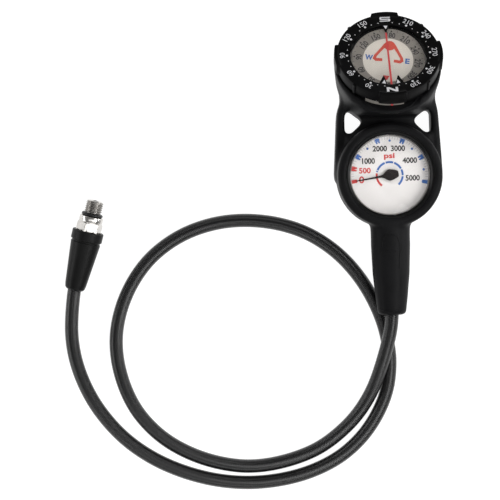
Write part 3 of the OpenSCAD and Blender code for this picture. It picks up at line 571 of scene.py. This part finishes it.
def clear(name, tint, rough=0.02):
    """Clear plastic that lets lamps through."""
    mat, tree = new_material(name)
    pane = add(tree, "BsdfPrincipled", {"Base Color": colour(tint), "Roughness": rough, "IOR": 1.45,
                                        "Transmission Weight": 1.0})
    film = add(tree, "BsdfTransparent", {"Color": colour(tint)})
    shadow = add(tree, "LightPath").outputs["Is Shadow Ray"]
    add(tree, "OutputMaterial", {"Surface": add(tree, "MixShader", {0: shadow, 1: pane, 2: film})})
    return mat


# Black ABS, moulded and polished: smooth and evenly dark.
GLOSS = moulded("black_gloss", "060606", "0a0a0a", 0.32, grain=0.01, specular=0.2)
# Clear polycarbonate, moulded and polished: glassy, and almost without a tint.
CLEAR = clear("clear_lens", "fcfbfa")
# White print over the dial's plate: matt, a little warm, and even.
DIAL = moulded("dial_white", "d0cfcf", "d6d5d5", 0.6, grain=0.02, clouds=0.09, specular=0.2)
# Grey ABS, moulded: satin. Its grey is partly the ring's own and partly painted shade where the rim shades
# the dial's edge.
FLANGE_AND_SHADE = moulded("flange_grey_and_shade", "6f6d6b", "797775", 0.4, grain=0.02, clouds=0.09, specular=0.3)

bm = bmesh.new()
lathe(bm, fillet([(25.3, 26, 0.1), (28.2, 26, 0.1), (28.2, 28.4, 0.3), (26.5, 28.4, 0.4), (25.3, 27.3, 0.3)]),
      steps=GAUGE_STEPS)
finish_piece("gauge_ring", bm, [GLOSS], "console", ("lens_ring",))
bm = bmesh.new()
lathe(bm, fillet([(0, 23.52, 0), (27.1, 23.52, 0.2), (27.1, 25.92, 0.2), (0, 25.92, 0)]), steps=GAUGE_STEPS)
finish_piece("gauge_window", bm, [CLEAR], "console", ("gauge_lens",))
bm = bmesh.new()
lathe(bm, fillet([(1.2, 19.6, 0.05), (24.9, 19.6, 0.1), (24.9, 20.4, 0.15), (1.2, 20.4, 0.05)]),
      steps=GAUGE_STEPS)
finish_piece("dial_plate", bm, [DIAL], "console", ("gauge_dial",))
bm = bmesh.new()
# A grey ring at the dial's edge, its colour partly painted shade for the shaded rim.
lathe(bm, [(24.1, 20.45), (24.2, 20.45), (24.95, 22.6), (24.95, 23.1), (24.8, 23.1)], steps=GAUGE_STEPS)
finish_piece("dial_flange", bm, [FLANGE_AND_SHADE], "console")

# ---- dial print ----
# Four screen-printed inks on the dial: black numbers, grey ticks, and blue and red marks, dots and
# arcs. Zero to 5000 psi runs clockwise over 201 degrees.
ZERO = 189.3
PER_PSI = 201 / 5000
INK_Z = 20.42
MARK_END, TICK_END = 24, 23.95
ARC_OUT, ARC_IN = 8.75, 7.45
CAPITAL = 0.72  # height of the font's capitals at size 1


def words(text, height, bold):
    """Points and faces of a line of lettering about its centre, with capitals of a height."""
    curve = bpy.data.curves.new("words", "FONT")
    curve.body = text
    curve.align_x = "CENTER"
    curve.size = height / CAPITAL
    curve.resolution_u = 3
    curve.offset = bold
    holder = bpy.data.objects.new("words", curve)
    bpy.context.scene.collection.objects.link(holder)
    bpy.context.view_layer.update()
    mesh = bpy.data.meshes.new_from_object(holder)
    points = [v.co.copy() for v in mesh.vertices]
    faces = [list(p.vertices) for p in mesh.polygons]
    bpy.data.objects.remove(holder)
    bpy.data.curves.remove(curve)
    bpy.data.meshes.remove(mesh)
    xs, ys = [p.x for p in points], [p.y for p in points]
    centre = Vector(((min(xs) + max(xs)) / 2, (min(ys) + max(ys)) / 2, 0))
    return [p - centre for p in points], faces


def print_words(bm, text, height, put, bold=0.0, squeeze=1.0):
    """Adds lettering to a bmesh. put takes flat coordinates to the printed surface."""
    points, faces = words(text, height, bold)
    verts = [bm.verts.new(put(p.x * squeeze, p.y)) for p in points]
    for loop in faces:
        bm.faces.new([verts[i] for i in loop])


def print_shape(bm, outline, put):
    """Adds a flat shape to a bmesh, with its printed side up."""
    area = sum(ax * by - bx * ay for (ax, ay), (bx, by) in zip(outline, outline[1:] + outline[:1]))
    bm.faces.new([bm.verts.new(put(u, v)) for u, v in (outline if area > 0 else outline[::-1])])


def arc_points(radius, start, end, steps, centre=(0, 0)):
    angles = [math.radians(start + (end - start) * k / steps) for k in range(steps + 1)]
    return [(centre[0] + radius * math.cos(a), centre[1] + radius * math.sin(a)) for a in angles]


def flat(u, v):
    return Vector((u, v, INK_Z))


def dial_frame(angle):
    """Takes (radius, across) at an angle to the dial's face."""
    a = math.radians(angle)
    out = Vector((math.cos(a), math.sin(a)))
    across = Vector((-math.sin(a), math.cos(a)))
    return lambda r, w: flat(*(out * r + across * w))


# Printed inks: matt, with the faint unevenness of a screen.
INK_BLACK = moulded("ink_black", "131214", "1a191b", 0.6, grain=0.02, clouds=0.9)
INK_GREY = moulded("ink_grey", "8c8e94", "989aa0", 0.5, grain=0.02, clouds=0.9)
INK_BLUE = moulded("ink_blue", "1c4f94", "235aa2", 0.5, grain=0.02, clouds=0.9)
INK_RED = moulded("ink_red", "b02626", "bb2f2d", 0.5, grain=0.02, clouds=0.9)

inks = {"black": bmesh.new(), "grey": bmesh.new(), "blue": bmesh.new(), "red": bmesh.new()}
for psi in range(0, 5001, 100):
    put = dial_frame(ZERO - psi * PER_PSI)
    if psi in (0, 5000):  # one solid block
        print_shape(inks["blue" if psi else "red"],
                    [(20.4, -0.8), (21, -1.1), (MARK_END, -1.15), (MARK_END, 1.15), (21, 1.1), (20.4, 0.8)],
                    put)
    elif psi % 1000 == 0 or psi == 500:  # a block split by a pale wedge
        for side in (-1, 1):
            print_shape(inks["red" if psi < 1000 else "blue"],
                        [(20.6, side * 0.4), (21.3, side * 0.25), (22.4, 0), (MARK_END, 0),
                         (MARK_END, side * 1.45), (22.3, side * 1.4), (20.8, side * 1.3)], put)
    else:
        inner = 22.2 if psi % 500 else 21.4
        print_shape(inks["grey"], [(inner, -0.12), (TICK_END, -0.14), (TICK_END, 0.14), (inner, 0.12)], put)
        if psi % 500 == 0:
            print_shape(inks["blue"], arc_points(0.75, 0, 345, 23, (21.5, 0)), put)
for text, x, y, size, ink, wide in (
        ("1000", -13.0, 9.0, 3.5, "black", 0.9), ("2000", -5.8, 16.6, 3.4, "black", 0.95),
        ("3000", 5.5, 16.6, 3.4, "black", 0.95), ("4000", 12.7, 9.0, 3.4, "black", 0.95),
        ("5000", 14.3, -2.0, 3.4, "black", 0.95), ("500", -15.4, 3.1, 3.4, "red", 1.05),
        ("0", -17.5, -2.6, 4.3, "red", 1.1), ("psi", 0, 11.6, 3.2, "red", 1.42)):
    print_words(inks[ink], text, size, lambda u, v, x=x, y=y: flat(x + u, y + v), bold=0.16, squeeze=wide)
for start, end, ink in ((233, 171, "red"), (166, 160, "blue"), (157, 111, "blue"), (107, 73, "blue"),
                        (69, 29, "blue"), (25, -2, "blue"), (-6, -48, "blue")):
    steps = max(3, abs(start - end) // 3)
    print_shape(inks[ink], arc_points(ARC_OUT, start, end, steps) + arc_points(ARC_IN, end, start, steps),
                flat)
for key, mat, slot_name in (("black", INK_BLACK, "needle_black"), ("grey", INK_GREY, "white_plastic"),
                            ("blue", INK_BLUE, "dial_white"), ("red", INK_RED, "jewel_red")):
    finish_piece("dial_print_" + key, inks[key], [mat], "console")

# ---- needle ----
# A stamped aluminium pointer on a turned hub, pressed on the pinion's arbor. Its long end narrows
# to the tip and its short end is a broad tail.
NEEDLE_LOW, NEEDLE_HIGH = 21.32, 21.8
# Black paint on metal: matt, with a trace of red in the light.
NEEDLE = moulded("needle_black", "0d0506", "140809", 0.6, grain=0.02, specular=0.15)


def slab(bm, outline, low, high, place=Matrix(), bevel=0.0):
    """A flat plate with a given outline, with its edges bevelled."""
    bottom = bm.faces.new([bm.verts.new(place @ Vector((u, v, low))) for u, v in outline])
    made = bmesh.ops.extrude_face_region(bm, geom=[bottom])["geom"]
    top = next(part for part in made if isinstance(part, bmesh.types.BMFace))
    bmesh.ops.translate(bm, verts=top.verts, vec=place.to_3x3() @ Vector((0, 0, high - low)))
    bmesh.ops.recalc_face_normals(bm, faces=list({face for v in [*top.verts, *bottom.verts]
                                                  for face in v.link_faces}))
    if bevel:
        bmesh.ops.bevel(bm, geom=[*top.edges, *bottom.edges], offset=bevel, affect="EDGES",
                        segments=2, profile=0.5, material=-1)


upper_half = [(21.6, 0.22), (17, 0.42), (9, 0.6), (6.2, 0.72), (4.9, 0.9), (3.7, 1.35), (2.4, 2.5),
              (1.2, 3.3), (0.4, 3.6), (-0.6, 3.55), (-2.4, 3.1), (-4.3, 2.4), (-5.2, 1.9), (-5.6, 1.2)]
lower_half = [(u, -v) for u, v in reversed(upper_half)]
bm = bmesh.new()
slab(bm, upper_half + lower_half, NEEDLE_LOW, NEEDLE_HIGH, turn(ZERO, "Z"), 0.1)
lathe(bm, fillet([(0, 20.9, 0), (1.6, 20.9, 0.1), (1.6, 22.2, 0.25), (0, 22.2, 0)]), steps=48)
finish_piece("gauge_pointer", bm, [NEEDLE], "needle", ("pressure_needle",))

# ---- gauge works, swivel and capsule fittings ----
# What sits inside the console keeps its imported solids, and gets the metals, rubbers and plastics
# that it is made of.
# Black enamel over brass: smooth and glossy.
CASE = moulded("case_enamel", "080808", "0d0d0d", 0.3, grain=0.03)
# Turned brass: warm yellow with fine rings.
BRASS = metal("brass", "b08a4a", "c9a45f", 0.28)
# Rolled brass sheet, stamped and brushed: paler, with lines along the roll.
PLATE = metal("plate_brass", "c3a05a", "d6b570", 0.32, stretch=(1, 14, 1))
# Drawn phosphor bronze: redder than brass.
BRONZE = metal("tube_bronze", "b4834a", "c4935a", 0.3)
# Turned stainless steel: neutral grey with fine marks.
STEEL = metal("steel", "9fa2a6", "b4b7ba", 0.3)
# Moulded white acetal: smooth and a little translucent to the eye.
WHITE = moulded("white_plastic", "d8d8d2", "e6e6e0", 0.4, grain=0.03)
# Sintered ferrite: dull grey and grainy.
MAGNET = moulded("magnet_grey", "5c5e60", "6e7073", 0.6, grain=0.2)
# Polished synthetic ruby: deep red and very smooth.
JEWEL = moulded("jewel_red", "6d1c2a", "7d2634", 0.12, grain=0.0)
for mat, names in (
        (CASE, ("gauge_case",)),
        (BRASS, ("gauge_stem", "tube_tip", "plate_pillars")),
        (PLATE, ("lower_plate", "upper_plate", "sector_gear")),
        (BRONZE, ("bourdon_tube",)),
        (STEEL, ("plate_screws", "hairspring", "pinion_arbor", "sector_arbor", "tube_link", "stem_ferrule",
                 "end_ferrule", "pivot_pin", "fill_screw")),
        (CHROME, ("swivel_nut", "air_spool", "hose_stem")),
        (SEAL, ("relief_plug", "lens_o_ring", "spool_o_rings", "bezel_o_ring", "capsule_seal", "diaphragm")),
        (WHITE, ("capsule_back", "diaphragm_ring")),
        (MAGNET, ("card_magnet",)),
        (JEWEL, ("jewel_cup",))):
    for name in names:
        mesh = NODES[name].data
        mesh.materials.clear()
        mesh.materials.append(mat)

# ---- compass bezel ----
# One moulded ring that turns on the capsule, held by a friction ring in its inner groove. It has
# four grip blocks, four nubs between them, and three pointers over the window.
LEAN = shift(0, 75.2, 33.5) @ turn(-34, "X")
MODULE = LEAN @ turn(1.5, "Z")
BEZEL_R, BLOCK_R, BEZEL_H, VIEW_R = 32.3, 34.0, 8.5, 23.9
BEZEL_BORE_R, GROOVE_R, GROOVE_LOW, GROOVE_HIGH = 28.6, 29.1, -4.5, -3.3
NUB, BLOCK_LIP = 0.9, 0.8
BEZEL_STEPS = 720
# Moulded glass-filled nylon: black, with a low even sheen and a very fine grain.
BEZEL = moulded("bezel_plastic", "070707", "0b0b0c", 0.34, grain=0.04, grains=3.2, specular=0.05)


def bezel_face(r):
    """Height of the printed face at a radius."""
    return -0.6 + 0.6 * min(max((r - 24.4) / 6.5, 0), 1)


rows = []
for k in range(BEZEL_STEPS):
    angle = 360 * k / BEZEL_STEPS
    block = smoothstep((16.2 - abs((angle + 45) % 90 - 45)) / 2.4)
    nub = smoothstep((2.3 - abs(angle % 90 - 45)) / 1.1)
    out = BEZEL_R + (BLOCK_R - BEZEL_R) * block
    side = out + NUB * nub
    lip = BLOCK_LIP * block
    low = -BEZEL_H + 0.5 * block
    profile = [(BEZEL_BORE_R, -1.6), (VIEW_R, -1.6), (VIEW_R, -0.95), (VIEW_R + 0.15, -0.7),
               (VIEW_R + 0.5, -0.6), (27, bezel_face(27)), (29.3, bezel_face(29.3)), (30.7, bezel_face(30.7)),
               (31 + 0.3 * block, bezel_face(31) + 0.5 * lip), (31.2 + 0.6 * block, lip),
               (out - 0.45, lip - 0.1), (out - 0.12, lip - 0.42), (side, lip - 0.95), (side, (lip + low) / 2),
               (side, low + 0.35), (out - 0.3, low), (BEZEL_BORE_R + 0.3, low), (BEZEL_BORE_R, low + 0.3),
               (BEZEL_BORE_R, GROOVE_LOW), (GROOVE_R, GROOVE_LOW), (GROOVE_R, GROOVE_HIGH),
               (BEZEL_BORE_R, GROOVE_HIGH)]
    a = math.radians(angle)
    rows.append([MODULE @ Vector((r * math.cos(a), r * math.sin(a), w)) for r, w in profile])
bm = bmesh.new()
loft(bm, rows)
for turned, half, tip, skew in ((0, 2.6, 18.4, 0), (165.5, 3, 17.6, -1), (194.5, 3.2, 17.6, 1.2)):
    slab(bm, [(-half + skew, 24.9), (-0.35, tip), (0.35, tip), (half + skew, 24.9)], -1.4, -0.9,
         MODULE @ turn(turned, "Z"), 0.08)
finish_piece("rotating_bezel", bm, [BEZEL], "bezel", ("compass_bezel",), sharp=32)

# ---- bezel print ----
# White pad-printed degrees, dots, and the letters N and S, which are drawn broad and square. The
# three pointers carry white triangles.
BIG_DOT, SMALL_DOT = 0.72, 0.33
LETTER_N = [(-3.5, -1.9), (-2, -1.9), (-2, 0.3), (1.9, -1.9), (3.5, -1.9), (3.5, 1.9), (2, 1.9), (2, -0.3),
            (-1.9, 1.9), (-3.5, 1.9)]
LETTER_S = [(3.3, 1.75), (-2.8, 1.75), (-3.35, 1.3), (-3.35, 0.05), (-2.8, -0.4), (2.2, -0.4), (2.2, -1),
            (-3.3, -1), (-3.3, -1.75), (2.8, -1.75), (3.35, -1.3), (3.35, -0.05), (2.8, 0.4), (-2.2, 0.4),
            (-2.2, 1), (3.3, 1)]
# White ink: matt and slightly grey where the black shows through.
INK_WHITE = moulded("ink_white", "cdcdd0", "dadadc", 0.5, grain=0.02, clouds=0.9)


def bezel_put(angle, radius):
    """Takes flat lettering to the bezel's face, with its top outwards."""
    place = MODULE @ turn(angle, "Z")
    return lambda u, v: place @ Vector((u, radius + v, bezel_face(math.hypot(u, radius + v)) + 0.03))


bm = bmesh.new()
for k in range(36):
    if k not in (0, 18):
        big = k % 3 == 0
        print_shape(bm, arc_points(BIG_DOT if big else SMALL_DOT, 0, 340, 17),
                    bezel_put(180 - 10 * k, 25.9 if big else 25.7))
for k in range(12):
    if k not in (0, 6):
        print_words(bm, str(30 * k), 3.3, bezel_put(180 - 30 * k, 28.75))
print_shape(bm, LETTER_N, bezel_put(180, 28.4))
print_shape(bm, LETTER_S, bezel_put(0, 28.2))
for angle, skew in ((0, 0), (165.5, -1.2), (194.5, 1.7)):
    place = MODULE @ turn(angle, "Z")
    print_shape(bm, [(skew * 0.8, 20.5), (1.3 + skew, 23.4), (-1.3 + skew, 23.4)],
                lambda u, v: place @ Vector((u, v, -0.87)))
finish_piece("bezel_print", bm, [INK_WHITE], "bezel")

# ---- compass capsule ----
# Lens, wall and reading lug are one clear moulding, sealed from below. A black liner stands inside
# the wall, and the lubber line is printed on the lens and down the lug. A grey band shows in the
# side window, and black masks the rest of the lug.
WALL_R = 31.43
WINDOW_FROM, WINDOW_TO, MASK_FROM, MASK_TO = 239, 284, 285, 599
LUBBER_HALF, LUBBER_Z = 0.62, -1.87
# Red ink on clear plastic: bright, with the light from both sides.
LUBBER = moulded("lubber_red", "c23a3c", "cc4446", 0.4, grain=0.01, clouds=0.9)
# Grey print on the card and on the side scale: matt and a little warm.
CARD_RING = moulded("card_ring", "77736e", "817d77", 0.6, grain=0.02, clouds=0.09, specular=0.2)

bm = bmesh.new()
lathe(bm, fillet([
    (0, -3.3, 0), (26.1, -3.3, 0.5), (26.1, -15.2, 0.1), (28.5, -15.2, 0.2), (28.5, -12.5, 0.1),  # inside
    (31.4, -12.5, 0.3), (31.4, -9.3, 0.3), (28.5, -9.3, 0.1),  # reading lug
    (28.5, -4.4, 0.1), (27.9, -4.4, 0.1), (27.9, -3.4, 0.1), (28.5, -3.4, 0.1),  # friction ring's groove
    (28.5, -2.5, 0.1), (27.9, -1.9, 0.2), (0, -1.9, 0)]), MODULE, steps=192)
finish_piece("capsule_window", bm, [CLEAR], "console", ("capsule_dome",))
bm = bmesh.new()
lathe(bm, [(25.9, -13.2), (26.05, -13.2), (26.05, -3.8), (25.9, -3.8)], MODULE)
finish_piece("capsule_liner", bm, [BEZEL], "console")
bm = bmesh.new()
print_shape(bm, [(-LUBBER_HALF, -23.6), (LUBBER_HALF, -23.6), (LUBBER_HALF * 0.9, 18.6),
                 (-LUBBER_HALF * 0.9, 18.6)], lambda u, v: MODULE @ Vector((u, v, LUBBER_Z)))
slab(bm, [(-0.7, -31.55), (0.7, -31.55), (0.7, -31.42), (-0.7, -31.42)], -12.4, -9.35, MODULE)
finish_piece("lubber_line", bm, [LUBBER], "console")
bm = bmesh.new()
lathe(bm, [(WALL_R, -9.5), (WALL_R, -12.3)], MODULE, steps=WINDOW_TO - WINDOW_FROM, shut=False,
      start=WINDOW_FROM, sweep=WINDOW_TO - WINDOW_FROM)
finish_piece("side_scale", bm, [CARD_RING], "console")
bm = bmesh.new()
lathe(bm, [(28.6, -9.27), (WALL_R, -9.27), (WALL_R, -12.45)], MODULE, steps=MASK_TO - MASK_FROM,
      shut=False, start=MASK_FROM, sweep=MASK_TO - MASK_FROM)
finish_piece("window_mask", bm, [BEZEL], "console")

# ---- compass card ----
# A moulded disc on a jewelled pivot, with a drooping rim and the ring magnet below. Its centre is
# white and its outer ring is printed grey, with black degrees and ticks.
CARD_AT = LEAN @ shift(0, 0, -7) @ turn(8, "X")
CARD_TURN = 8.5
CARD_STEPS = 144
RING_Z, PRINT_Z, DISC_Z = 0.02, 0.045, 0.06
# Moulded white styrene: matt and a little warm.
CARD = moulded("card_white", "c6c1b9", "ccc8c0", 0.6, grain=0.02, clouds=0.09, specular=0.2)

bm = bmesh.new()
lathe(bm, fillet([
    (0, 0, 0), (23, 0, 0.1), (23.2, -0.25, 0.1), (23.2, -2.8, 0.1), (22.5, -2.8, 0.1), (22.5, -0.8, 0.1),
    (2.4, -0.8, 0.1), (2.4, -3, 0.1), (1.3, -3, 0.1), (1.3, -0.9, 0.1), (0, -0.9, 0)]), CARD_AT,
      steps=CARD_STEPS)
finish_piece("card_disc", bm, [CARD], "card", ("compass_card",))
bm = bmesh.new()
lathe(bm, [(15.8, RING_Z), (23, RING_Z)], CARD_AT, steps=CARD_STEPS, shut=False)
finish_piece("card_figure_ring", bm, [CARD_RING], "card")


def card_round(angle, radius):
    """Takes flat lettering to the card at an angle, with its top outwards."""
    place = CARD_AT @ turn(angle, "Z")
    return lambda u, v: place @ Vector((u, radius + v, PRINT_Z))


bm = bmesh.new()
for k in range(36):
    tick = [(-0.14, 21.1), (0.14, 21.1), (0.14, 22.2), (-0.14, 22.2)] if k % 3 else [
        (0, 22.3), (-0.75, 20.7), (0.75, 20.7)]
    print_shape(bm, tick, card_round(-10 * k - CARD_TURN, 0))
for k in range(12):
    bearing = (30 * k + 180) % 360 or 360
    print_words(bm, str(bearing), 3.7, card_round(-30 * k - CARD_TURN, 18.4), bold=0.13, squeeze=0.82)
finish_piece("card_figures", bm, [INK_BLACK], "card")

# ---- card letters and arrow ----
# Printed on the card's white centre: a blue W and E, a red arrow of two bent arms under a disc,
# and a small red mark at the other side.
# Red ink with some orange: matt.
ARROW = moulded("arrow_red", "b53422", "c03f2b", 0.5, grain=0.02, clouds=0.9)
ARM = [(0.9, 12.6), (2.5, 11.2), (5.7, 6.4), (8.3, 2.2), (8.6, 0.4), (7.6, -0.5), (3.6, -0.2)]
ARM_WIDTHS = [2.6, 2.4, 1.8, 1.9, 2.3, 2.3, 2.1]


def card_flat(u, v, w=PRINT_Z):
    return CARD_AT @ turn(-CARD_TURN, "Z") @ Vector((u, v, w))


def stroke(points, widths):
    """Outline of a line of varying width along points."""
    left, right = [], []
    for i, p in enumerate(points):
        a, b = Vector(points[max(i - 1, 0)]), Vector(points[min(i + 1, len(points) - 1)])
        way = (b - a).normalized()
        side = Vector((-way.y, way.x)) * widths[i] / 2
        left.append(tuple(Vector(p) + side))
        right.append(tuple(Vector(p) - side))
    return left + right[::-1]


bm = bmesh.new()
for side, letter, wide in ((-1, "W", 0.82), (1, "E", 1.15)):
    print_words(bm, letter, 3.7, lambda u, v: card_flat(side * 12.1 + u, v + 0.6), bold=0.2, squeeze=wide)
finish_piece("card_letters", bm, [INK_BLUE], "card")
bm = bmesh.new()
for side in (-1, 1):
    print_shape(bm, stroke([(side * u, v) for u, v in ARM], ARM_WIDTHS), card_flat)
print_shape(bm, arc_points(3.5, 0, 350, 35, (0, 10.6)), lambda u, v: card_flat(u, v, DISC_Z))
finish_piece("card_arrow", bm, [ARROW], "card")
bm = bmesh.new()
print_shape(bm, [(-2.1, -11.4), (-0.8, -14.7), (0.8, -14.7), (2.1, -11.4)], card_flat)
finish_piece("card_south_mark", bm, [INK_RED], "card")
